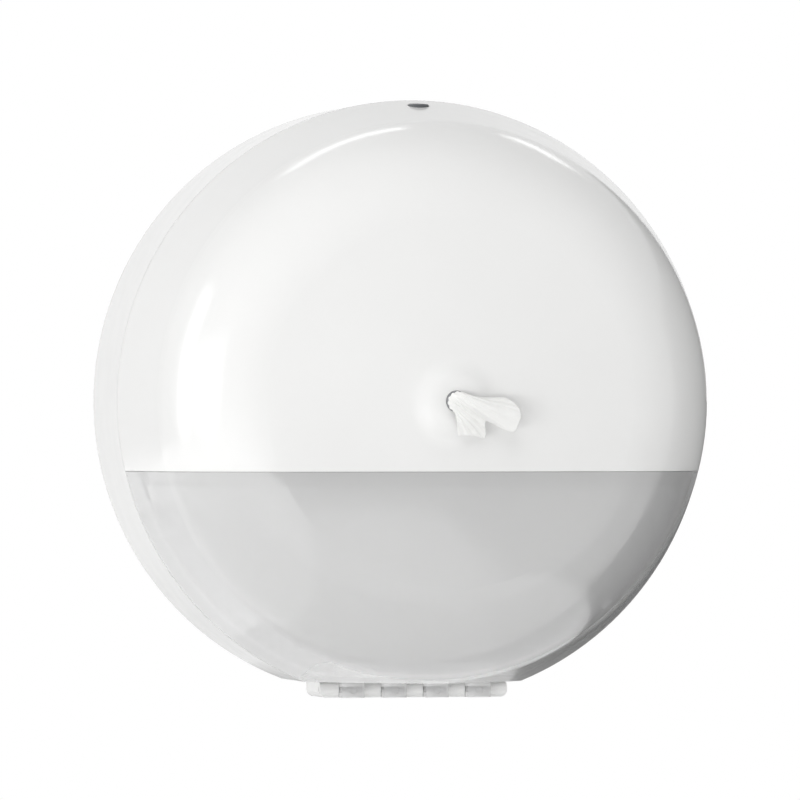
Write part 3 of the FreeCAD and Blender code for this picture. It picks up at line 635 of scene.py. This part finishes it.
@dataclass
class Spring:
    """The coil spring under the button, wound at its rest length; in the lock it shortens as the
    button goes in.
    """

    wire: float = 0.45 * MM
    wire_points: int = 14
    turns: float = 3.0
    turn_points: int = 40
    end_gap: float = 0.15 * MM
    joint: str = "lock_button_press"

    def tree(self) -> Tree:
        """Builds the tree that winds a wire round the Z axis.

        Returns:
            The tree, with its sizes as named inputs.
        """
        tree = new_tree("coil", {
            "Turns": "Float", "Turn Points": "Int", "Radius": "Float", "Height": "Float",
            "Wire": "Float", "Foot": "Vector", "Material": "Material"})
        given = add(tree, "NodeGroupInput").outputs
        line = add(tree, "GeometryNodeCurveSpiral", {
            "Resolution": given["Turn Points"], "Rotations": given["Turns"],
            "Start Radius": given["Radius"], "End Radius": given["Radius"],
            "Height": given["Height"]}).outputs[0]
        section = add(tree, "GeometryNodeCurvePrimitiveCircle", {
            "Resolution": self.wire_points, "Radius": given["Wire"]}).outputs[0]
        wound = add(tree, "GeometryNodeCurveToMesh", {
            "Curve": line, "Profile Curve": section, "Fill Caps": True}).outputs[0]
        placed = add(tree, "GeometryNodeTransform", {
            "Geometry": wound, "Translation": given["Foot"]}).outputs[0]
        hand_out(tree, placed, given["Material"])
        return tree

    def build(self) -> None:
        """Winds the spring and puts it in place of its plain solid."""
        low, high = (Vector(corner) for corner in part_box("lock_spring"))
        middle = (low + high) / 2
        piece = new_object("wound_spring", bpy.data.meshes.new("wound_spring"))
        grow(piece, self.tree(), {
            "Turns": self.turns, "Turn Points": self.turn_points, "Radius": high.x - self.wire,
            "Height": high.z - low.z - 2 * self.wire, "Wire": self.wire,
            "Foot": (middle.x, middle.y, low.z + self.wire), "Material": SPRING_WIRE.material()})
        settle(piece, Body.COVER, Slot.SPRING, "lock_spring")
        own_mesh(piece)


class Lathe:
    """Geometry Nodes tree that turns a profile round the roll's axis.

    The profile is a row of points: X holds the radius, Y the place along the axis, and Z how much
    of the lap of the wound sheet a point takes.
    """

    merge: float = 0.002 * MM

    def __init__(self) -> None:
        """Builds the tree once."""
        tree = new_tree("lathe", {
            "Profile": "Geometry", "Columns": "Int", "Lap": "Float", "Wobble": "Float",
            "Wobble Size": "Float", "Material": "Material"})
        given = add(tree, "NodeGroupInput").outputs
        profile = given["Profile"]
        rows = add(tree, "GeometryNodeAttributeDomainSize", {"Geometry": profile})
        rows = rows.outputs["Point Count"]
        index = add(tree, "GeometryNodeInputIndex").outputs[0]
        row = maths(tree, "MODULO", index, rows)
        column = maths(tree, "FLOOR", maths(tree, "DIVIDE", index, rows))
        share = maths(tree, "DIVIDE", column, given["Columns"])
        angle = maths(tree, "MULTIPLY", share, math.tau)
        where = add(tree, "GeometryNodeInputPosition").outputs[0]
        point = add(tree, "GeometryNodeSampleIndex", {
            "Geometry": profile, "Value": where, "Index": row}, data_type="FLOAT_VECTOR")
        point = add(tree, "ShaderNodeSeparateXYZ", {0: point.outputs[0]}).outputs
        behind = maths(tree, "SUBTRACT", 1.0, share)
        lap = maths(tree, "MULTIPLY", behind, given["Lap"])
        lap = maths(tree, "MULTIPLY", lap, point["Z"])
        radius = maths(tree, "SUBTRACT", point["X"], lap)
        side = maths(tree, "MULTIPLY", maths(tree, "SINE", angle), radius)
        rise = maths(tree, "MULTIPLY", maths(tree, "COSINE", angle), radius)
        place = add(tree, "ShaderNodeCombineXYZ", {0: side, 1: point["Y"], 2: rise}).outputs[0]
        fine = maths(tree, "DIVIDE", 1.0, given["Wobble Size"])
        waves = add(tree, "ShaderNodeTexNoise", {"Vector": place, "Scale": fine, "Detail": 2.0})
        push = maths(tree, "MULTIPLY", waves.outputs["Fac"], given["Wobble"])
        offset = add(tree, "ShaderNodeCombineXYZ", {1: push}).outputs[0]
        lines = maths(tree, "ADD", given["Columns"], 1.0)
        grid = add(tree, "GeometryNodeMeshGrid", {"Vertices X": lines, "Vertices Y": rows})
        shaped = add(tree, "GeometryNodeSetPosition", {
            "Geometry": grid.outputs["Mesh"], "Position": place, "Offset": offset}).outputs[0]
        closed = add(tree, "GeometryNodeMergeByDistance", {
            "Geometry": shaped, "Distance": self.merge}).outputs[0]
        hand_out(tree, closed, given["Material"])
        self.tree = tree

    def turn(self, name: str, profile: Sequence[Point], sizes: dict[str, Any]) -> bpy.types.Object:
        """Turns a profile into a piece with a plain mesh.

        Args:
            name: The piece's name.
            profile: Points of the profile in metres.
            sizes: Values of the tree's named inputs.

        Returns:
            The piece.
        """
        mesh = bpy.data.meshes.new(name)
        mesh.from_pydata(profile, [(i, i + 1) for i in range(len(profile) - 1)], [])
        piece = new_object(name, mesh)
        grow(piece, self.tree, sizes)
        return piece


@dataclass
class Roll:
    """The coreless roll: layers that show as rings at both ends, by grooves and by painted shade
    between them, and the sheet's loose end.
    """

    lathe: Lathe
    bore: float = 27.0 * MM
    layer: float = 1.25 * MM
    groove: float = 0.45 * MM
    dishing: float = 1.6 * MM
    corner: float = 0.9 * MM
    lap: float = 0.6 * MM
    wobble: float = 0.5 * MM
    wobble_size: float = 17.0 * MM
    columns: int = 144

    def profile(self) -> list[Point]:
        """Lays out the wound layers' outline, closed along the bore.

        Returns:
            Points of radius, place along the axis and share of the lap.
        """
        low, high = (Vector(corner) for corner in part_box("paper_roll"))
        outer = high.x
        steps = 2 * round((outer - self.bore) / self.layer)
        front, back = [], []
        for step in range(steps + 1):
            share = step / steps
            radius = self.bore + (outer - self.bore) * share
            sink = (self.groove if step % 2 else 0.0) + self.dishing * (1 - share) ** 2
            sink += self.corner * max(0.0, 1 - (outer - radius) / self.corner) ** 2
            front.append((radius, low.y + self.wobble + sink, share))
            back.append((radius, high.y - self.wobble - sink, share))
        back.reverse()
        return front + back + front[:1]

    def build(self) -> None:
        """Turns the roll and puts it in place of its plain solid."""
        piece = self.lathe.turn("wound_roll", self.profile(), {
            "Columns": self.columns, "Lap": self.lap, "Wobble": -self.wobble,
            "Wobble Size": self.wobble_size, "Material": WOUND_TISSUE.material()})
        settle(piece, Body.BASE, Slot.TISSUE, "paper_roll")


def solid_sheet(name: str, rows: Sequence[Sequence[Point]], thickness: float) -> bpy.types.Object:
    """Makes a thin sheet of tissue from rows of points.

    Args:
        name: The piece's name.
        rows: Rows of points in metres, all of one length.
        thickness: The sheet's thickness.

    Returns:
        The sheet with a plain closed mesh.
    """
    wide = len(rows[0])
    points = [point for row in rows for point in row]
    faces = [(r * wide + c, r * wide + c + 1, (r + 1) * wide + c + 1, (r + 1) * wide + c)
             for r in range(len(rows) - 1) for c in range(wide - 1)]
    mesh = bpy.data.meshes.new(name)
    mesh.from_pydata(points, [], faces)
    mesh.polygons.foreach_set("use_smooth", [True] * len(mesh.polygons))
    mesh.materials.append(TISSUE.material())
    piece = new_object(name, mesh)
    wall = piece.modifiers.new("wall", "SOLIDIFY")
    wall.thickness = thickness
    wall.offset = 0.0
    bake(piece)
    return piece


@dataclass
class Strand:
    """The roll's middle, drawn out to the nozzle as a twisted, pleated cone of tissue."""

    thickness: float = 0.16 * MM
    collar_share: float = 0.07
    ease_share: float = 0.25
    tip_radius: float = 0.9 * MM
    pleats: int = 9
    pleat_share: float = 0.2
    pleat_ends: float = 0.35
    pleat_peak: float = 1.15
    twist: float = 1.7
    stray: float = 0.5
    stray_round: float = 3.0
    stray_along: float = 6.0
    turns: float = 1.12
    overlap_step: float = 0.5 * MM
    columns: int = 240
    rows: int = 48
    flat: tuple[float, float] = (0.134, 0.052)

    def reach(self, radius: float, turn: float, along: float) -> float:
        """Folds the cone in and out.

        Args:
            radius: The cone's radius there.
            turn: Place round it, in full turns.
            along: Share of its length.

        Returns:
            Distance of the sheet from the axis.
        """
        angle = turn * math.tau
        spot = Vector((self.stray_round * math.cos(angle), self.stray_round * math.sin(angle),
                       self.stray_along * along))
        fold = math.sin(self.pleats * angle + self.twist * math.tau * along)
        fold = min(max(fold + self.stray * noise.noise(spot), -1.0), 1.0)
        swell = math.sin(math.pi * min(along * self.pleat_peak, 1.0))
        depth = self.pleat_share * (self.pleat_ends + (1 - self.pleat_ends) * swell)
        reach = radius * (1 - depth * (0.5 + 0.5 * fold))
        return reach - self.overlap_step * max(0.0, turn - 1) / (self.turns - 1)

    def build(self) -> None:
        """Shapes the cone and puts it in place of its plain solid."""
        low, high = (Vector(corner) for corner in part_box("tissue_strand"))
        outer = high.x - self.thickness
        rows = []
        for r in range(self.rows + 1):
            along = r / self.rows
            y = high.y + (low.y - high.y) * along
            drawn = (along - self.collar_share) / (1 - self.collar_share)
            cone = smooth(drawn) * self.ease_share + (1 - self.ease_share) * max(0.0, drawn)
            radius = outer + (self.tip_radius - outer) * cone
            row = []
            for c in range(self.columns + 1):
                turn = c / self.columns * self.turns
                reach = self.reach(radius, turn, along)
                angle = turn * math.tau
                row.append((reach * math.sin(angle), y, reach * math.cos(angle)))
            rows.append(row)
        piece = solid_sheet("drawn_strand", rows, self.thickness)
        settle(piece, Body.BASE, Slot.TISSUE, "tissue_strand")


@dataclass
class Tail:
    """The end of tissue out of the nozzle: one sheet, a hood over the outlet and a fan."""

    thickness: float = 0.14 * MM
    neck: float = 2.45 * MM
    neck_folds: int = 7
    neck_fold_share: float = 0.2
    neck_share: float = 0.2
    hood_start: float = 40.0
    hood_sweep: float = 210.0
    mouth: float = 4.2 * MM
    mouth_fold_share: float = 0.04
    mouth_sag: float = 0.8 * MM
    mouth_stand: float = 1.0 * MM
    mouth_share: float = 0.1
    lean_share: float = 0.55
    spread_share: float = 0.6
    stand_bend: float = 0.6
    wrinkle: float = 0.5 * MM
    creases: int = 11
    crease_stray: float = 2.5
    crease_across: float = 9.0
    crease_along: float = 2.0
    crease_fade: float = 0.6
    crumple: float = 1.3
    crumple_rate: float = 160.0
    crumple_across: float = 5.0
    tear: float = 0.5 * MM
    # Notches of the torn edge: share of their depth, how many there are and where their noise is.
    tears: tuple[Point, ...] = ((1.0, 60.0, 4.0), (0.6, 170.0, 9.0))
    columns: int = 200
    rows: int = 64
    flat: tuple[float, float] = (0.036, 0.027)
    # Angle from straight right in degrees; reach from the nozzle's axis, stand of the torn edge
    # before the ring and crown of the sheet on its way there, in millimetres.
    fan: tuple[tuple[float, float, float, float], ...] = (
        (5, 20.4, 4.5, 1.0), (1, 22.8, 6.0, 1.4), (-4.5, 25.3, 7.4, 1.8), (-8.5, 26.7, 8.2, 2.2),
        (-14, 27.6, 8.6, 2.4), (-21, 27.6, 8.6, 2.6), (-29, 27.2, 8.0, 2.6), (-32, 23.5, 6.6, 2.6),
        (-33, 19.9, 5.0, 2.6), (-34, 15.8, 3.4, 2.8), (-38, 15.2, 1.8, 3.0), (-46, 18.0, 1.0, 3.0),
        (-53, 20.3, 0.6, 3.0), (-60, 17.8, 0.5, 2.8), (-70, 16.0, 0.4, 2.4), (-80, 15.2, 0.3, 2.0),
        (-89, 15.0, 0.2, 1.6))

    def hub(self, across: float, opened: float) -> float:
        """Gives the gathered sheet's distance from the axis, in the neck and at the mouth.

        Args:
            across: Share of the sheet's width.
            opened: Zero in the neck, one at the mouth.

        Returns:
            The distance in metres.
        """
        pleat = math.cos(self.neck_folds * math.tau * across)
        neck = self.neck * (1 - self.neck_fold_share + self.neck_fold_share * pleat)
        mouth = self.mouth + self.mouth_sag * across
        mouth *= 1 - self.mouth_fold_share + self.mouth_fold_share * pleat
        return neck * (1 - opened) + mouth * opened

    def point(self, across: float, along: float, start: float, face: float) -> Point:
        """Places one point of the sheet.

        Args:
            across: Share of the sheet's width.
            along: Share of its length, from inside the nozzle to the torn edge.
            start: Y of the sheet's end in the nozzle.
            face: Y of the ring's face.

        Returns:
            The point in metres.
        """
        out = max(0.0, (along - self.neck_share) / (1 - self.neck_share))
        ring = math.radians(self.hood_start + self.hood_sweep * across)
        opened = smooth(out / self.mouth_share)
        turn = math.radians(table_value(self.fan, across, 0))
        reach, stand, crown = (table_value(self.fan, across, k) * MM for k in (1, 2, 3))
        for share, count, seed in self.tears:
            reach += share * self.tear * noise.noise(Vector((across * count, seed, 0.0)))
        lean = smooth((out - self.mouth_share) / self.lean_share)
        near = self.hub(across, opened) * (1 - lean + lean * self.spread_share * (1 - out))
        x = near * math.cos(ring) + lean * reach * out * math.cos(turn)
        z = near * math.sin(ring) + lean * reach * out * math.sin(turn)
        y = start + (face - start) * min(1.0, along / self.neck_share)
        y -= self.mouth_stand * opened + crown * CROWN_FACTOR * out * (1 - out) ** 2
        y -= stand * ((1 + self.stand_bend) * out - self.stand_bend * out * out)
        spot = Vector((across * self.crease_across, out * self.crease_along, 1.0))
        stray = self.crease_stray * noise.noise(spot)
        crease = math.sin(across * math.tau * self.creases + stray)
        y += self.wrinkle * out * (1 - self.crease_fade * out) * crease
        spot = Vector((x * self.crumple_rate, z * self.crumple_rate, across * self.crumple_across))
        y += self.wrinkle * self.crumple * out * noise.noise(spot)
        return x, y, z

    def build(self) -> None:
        """Shapes the sheet and puts it in place of its plain solid."""
        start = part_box("tissue_tail")[1][1]
        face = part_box("nozzle_ring")[0][1]
        rows = [[self.point(c / self.columns, r / self.rows, start, face)
                 for c in range(self.columns + 1)] for r in range(self.rows + 1)]
        piece = solid_sheet("torn_tail", rows, self.thickness)
        settle(piece, Body.COVER, Slot.TISSUE, "tissue_tail")


@dataclass(frozen=True)
class Lamp:
    """A soft rectangular lamp with its width and height in metres and its power in watts."""

    name: str
    place: Point
    size: tuple[float, float]
    power: float
    reach: Reach = Reach.DULL
    aim: Point = (0.0, 0.0, 0.0)

    def hang(self) -> None:
        """Hangs the lamp where the camera doesn't see it."""
        data = bpy.data.lights.new(self.name, "AREA")
        data.shape = "RECTANGLE"
        data.size, data.size_y = self.size
        data.energy = self.power
        lamp = new_object(self.name, data)
        lamp.location = self.place
        sight = Vector(self.aim) - Vector(self.place)
        lamp.rotation_euler = sight.to_track_quat("-Z", "Y").to_euler()
        lamp.visible_camera = False
        lamp.visible_glossy = self.reach is not Reach.DULL
        lamp.visible_diffuse = self.reach is not Reach.GLOSS


@dataclass(frozen=True)
class Board:
    """A flat board of the studio; unless it is solid, only glossy surfaces show it."""

    name: str
    finish: Finish
    corners: tuple[Point, ...]
    solid: bool = False

    def lay(self) -> None:
        """Lays the board."""
        mesh = bpy.data.meshes.new(self.name)
        mesh.from_pydata(self.corners, [], [(0, 1, 2, 3)])
        mesh.materials.append(self.finish.material())
        made = new_object(self.name, mesh)
        made.visible_camera = self.solid
        made.visible_diffuse = self.solid
        made.visible_shadow = self.solid


@dataclass
class Studio:
    """Camera, lamps, floor and background."""

    distance: float = 5.0
    turn_degrees: float = 11.97
    aim_right: float = 0.00706
    aim_up: float = 0.0006
    focal_pixels: float = 11055.0
    frame_pixels: float = 800.0
    sensor: float = 36.0
    ambient: float = 0.37
    boards: tuple[Board, ...] = (
        Board("floor", FLOOR_VINYL, ((-2.5, -6.0, FLOOR_Z), (2.5, -6.0, FLOOR_Z),
                                     (2.5, 1.2, FLOOR_Z), (-2.5, 1.2, FLOOR_Z)), solid=True),
        Board("flag", FLAG_CLOTH, ((0.9, 1.5, FLOOR_Z), (2.6, -0.6, FLOOR_Z),
                                   (2.6, -0.6, 0.8), (0.9, 1.5, 0.8))),
        Board("mat", MAT_FELT, ((0.3, -0.25, MAT_Z), (2.6, -0.7, MAT_Z),
                                (2.6, 1.5, MAT_Z), (0.16, 1.5, MAT_Z))),
        Board("screen", MAT_FELT, ((0.16, 1.5, FLOOR_Z), (0.9, 1.5, FLOOR_Z),
                                   (0.9, 1.5, 0.0), (0.3, 1.5, 0.0))))
    lamps: tuple[Lamp, ...] = (
        Lamp("key", (-0.5, -1.75, 1.26), (1.2, 1.2), 7.6),
        Lamp("fill", (1.24, -1.78, 0.3), (1.2, 1.2), 2.8),
        Lamp("top", (0.0, -0.6, 1.9), (1.2, 0.8), 5.5),
        Lamp("left_key", (-1.52, -0.97, 0.1), (1.0, 1.4), 1.6),
        Lamp("left_panel", (-1.72, -0.75, 0.0), (1.0, 1.1), 6.0, Reach.GLOSS),
        Lamp("low_fill", (-0.8, -1.6, -0.2), (1.4, 0.3), 10.0),
        Lamp("left_strip", (-1.8, 0.1, 0.1), (0.5, 1.8), 9.0, Reach.BOTH),
        Lamp("top_strip", (-0.2, 1.03, 1.46), (0.82, 0.2), 1.3, Reach.BOTH),
        Lamp("right_strip", (0.87, 1.03, 1.19), (0.43, 0.2), 0.7, Reach.BOTH))
    # Panels on the floor that face straight up, weaker to the right: middle, width, length, power.
    low_panels: tuple[tuple[float, ...], ...] = (
        (-1.0, -0.2, 0.9, 2.8, 10.5), (-0.35, -0.5, 0.4, 2.2, 3.3),
        (-0.02, -0.65, 0.26, 1.9, 1.3), (0.19, -0.65, 0.16, 1.9, 0.7))

    def camera(self) -> None:
        """Places the camera at the photograph's angle."""
        turn = math.radians(self.turn_degrees)
        back = Vector((-math.sin(turn), -math.cos(turn), 0))
        right = Vector((math.cos(turn), -math.sin(turn), 0))
        data = bpy.data.cameras.new("camera")
        data.sensor_width = self.sensor
        data.lens = self.sensor * self.focal_pixels / self.frame_pixels
        data.clip_start = 0.1
        data.clip_end = 50
        eye = back * self.distance
        target = right * self.aim_right + Vector((0, 0, self.aim_up))
        camera = new_object("camera", data)
        camera.location = eye
        camera.rotation_euler = (target - eye).to_track_quat("-Z", "Y").to_euler()
        bpy.context.scene.camera = camera

    def world(self) -> None:
        """Gives a white background to eye, gloss and glass, and softer light to the rest."""
        world = bpy.data.worlds.new("studio")
        bpy.context.scene.world = world
        world.use_nodes = True
        tree = world.node_tree
        tree.nodes.clear()
        soft, white = (
            add(tree, "ShaderNodeBackground", {"Color": WHITE, "Strength": level}).outputs[0]
            for level in (self.ambient, 1.0))
        mixed = add(tree, "ShaderNodeMixShader", {0: seen_rays(tree), 1: soft, 2: white})
        add(tree, "ShaderNodeOutputWorld", {"Surface": mixed.outputs[0]})

    def build(self) -> None:
        """Sets up the whole studio."""
        bpy.context.scene.view_settings.view_transform = "Standard"
        self.camera()
        self.world()
        for board in self.boards:
            board.lay()
        for lamp in self.lamps:
            lamp.hang()
        for number, (x, y, width, length, power) in enumerate(self.low_panels):
            Lamp(f"low_panel_{number}", (x, y, PANEL_Z), (width, length), power, Reach.GLOSS,
                 aim=(x, y, 1.0)).hang()


def main() -> None:
    """Builds everything in order."""
    logging.basicConfig(level=logging.INFO, format="%(name)s: %(message)s")
    for part in (Studio(), Dish(), Cover(), Lock(), Spring(), Roll(Lathe()), Strand(), Tail()):
        part.build()


if __name__ == "__main__":
    main()
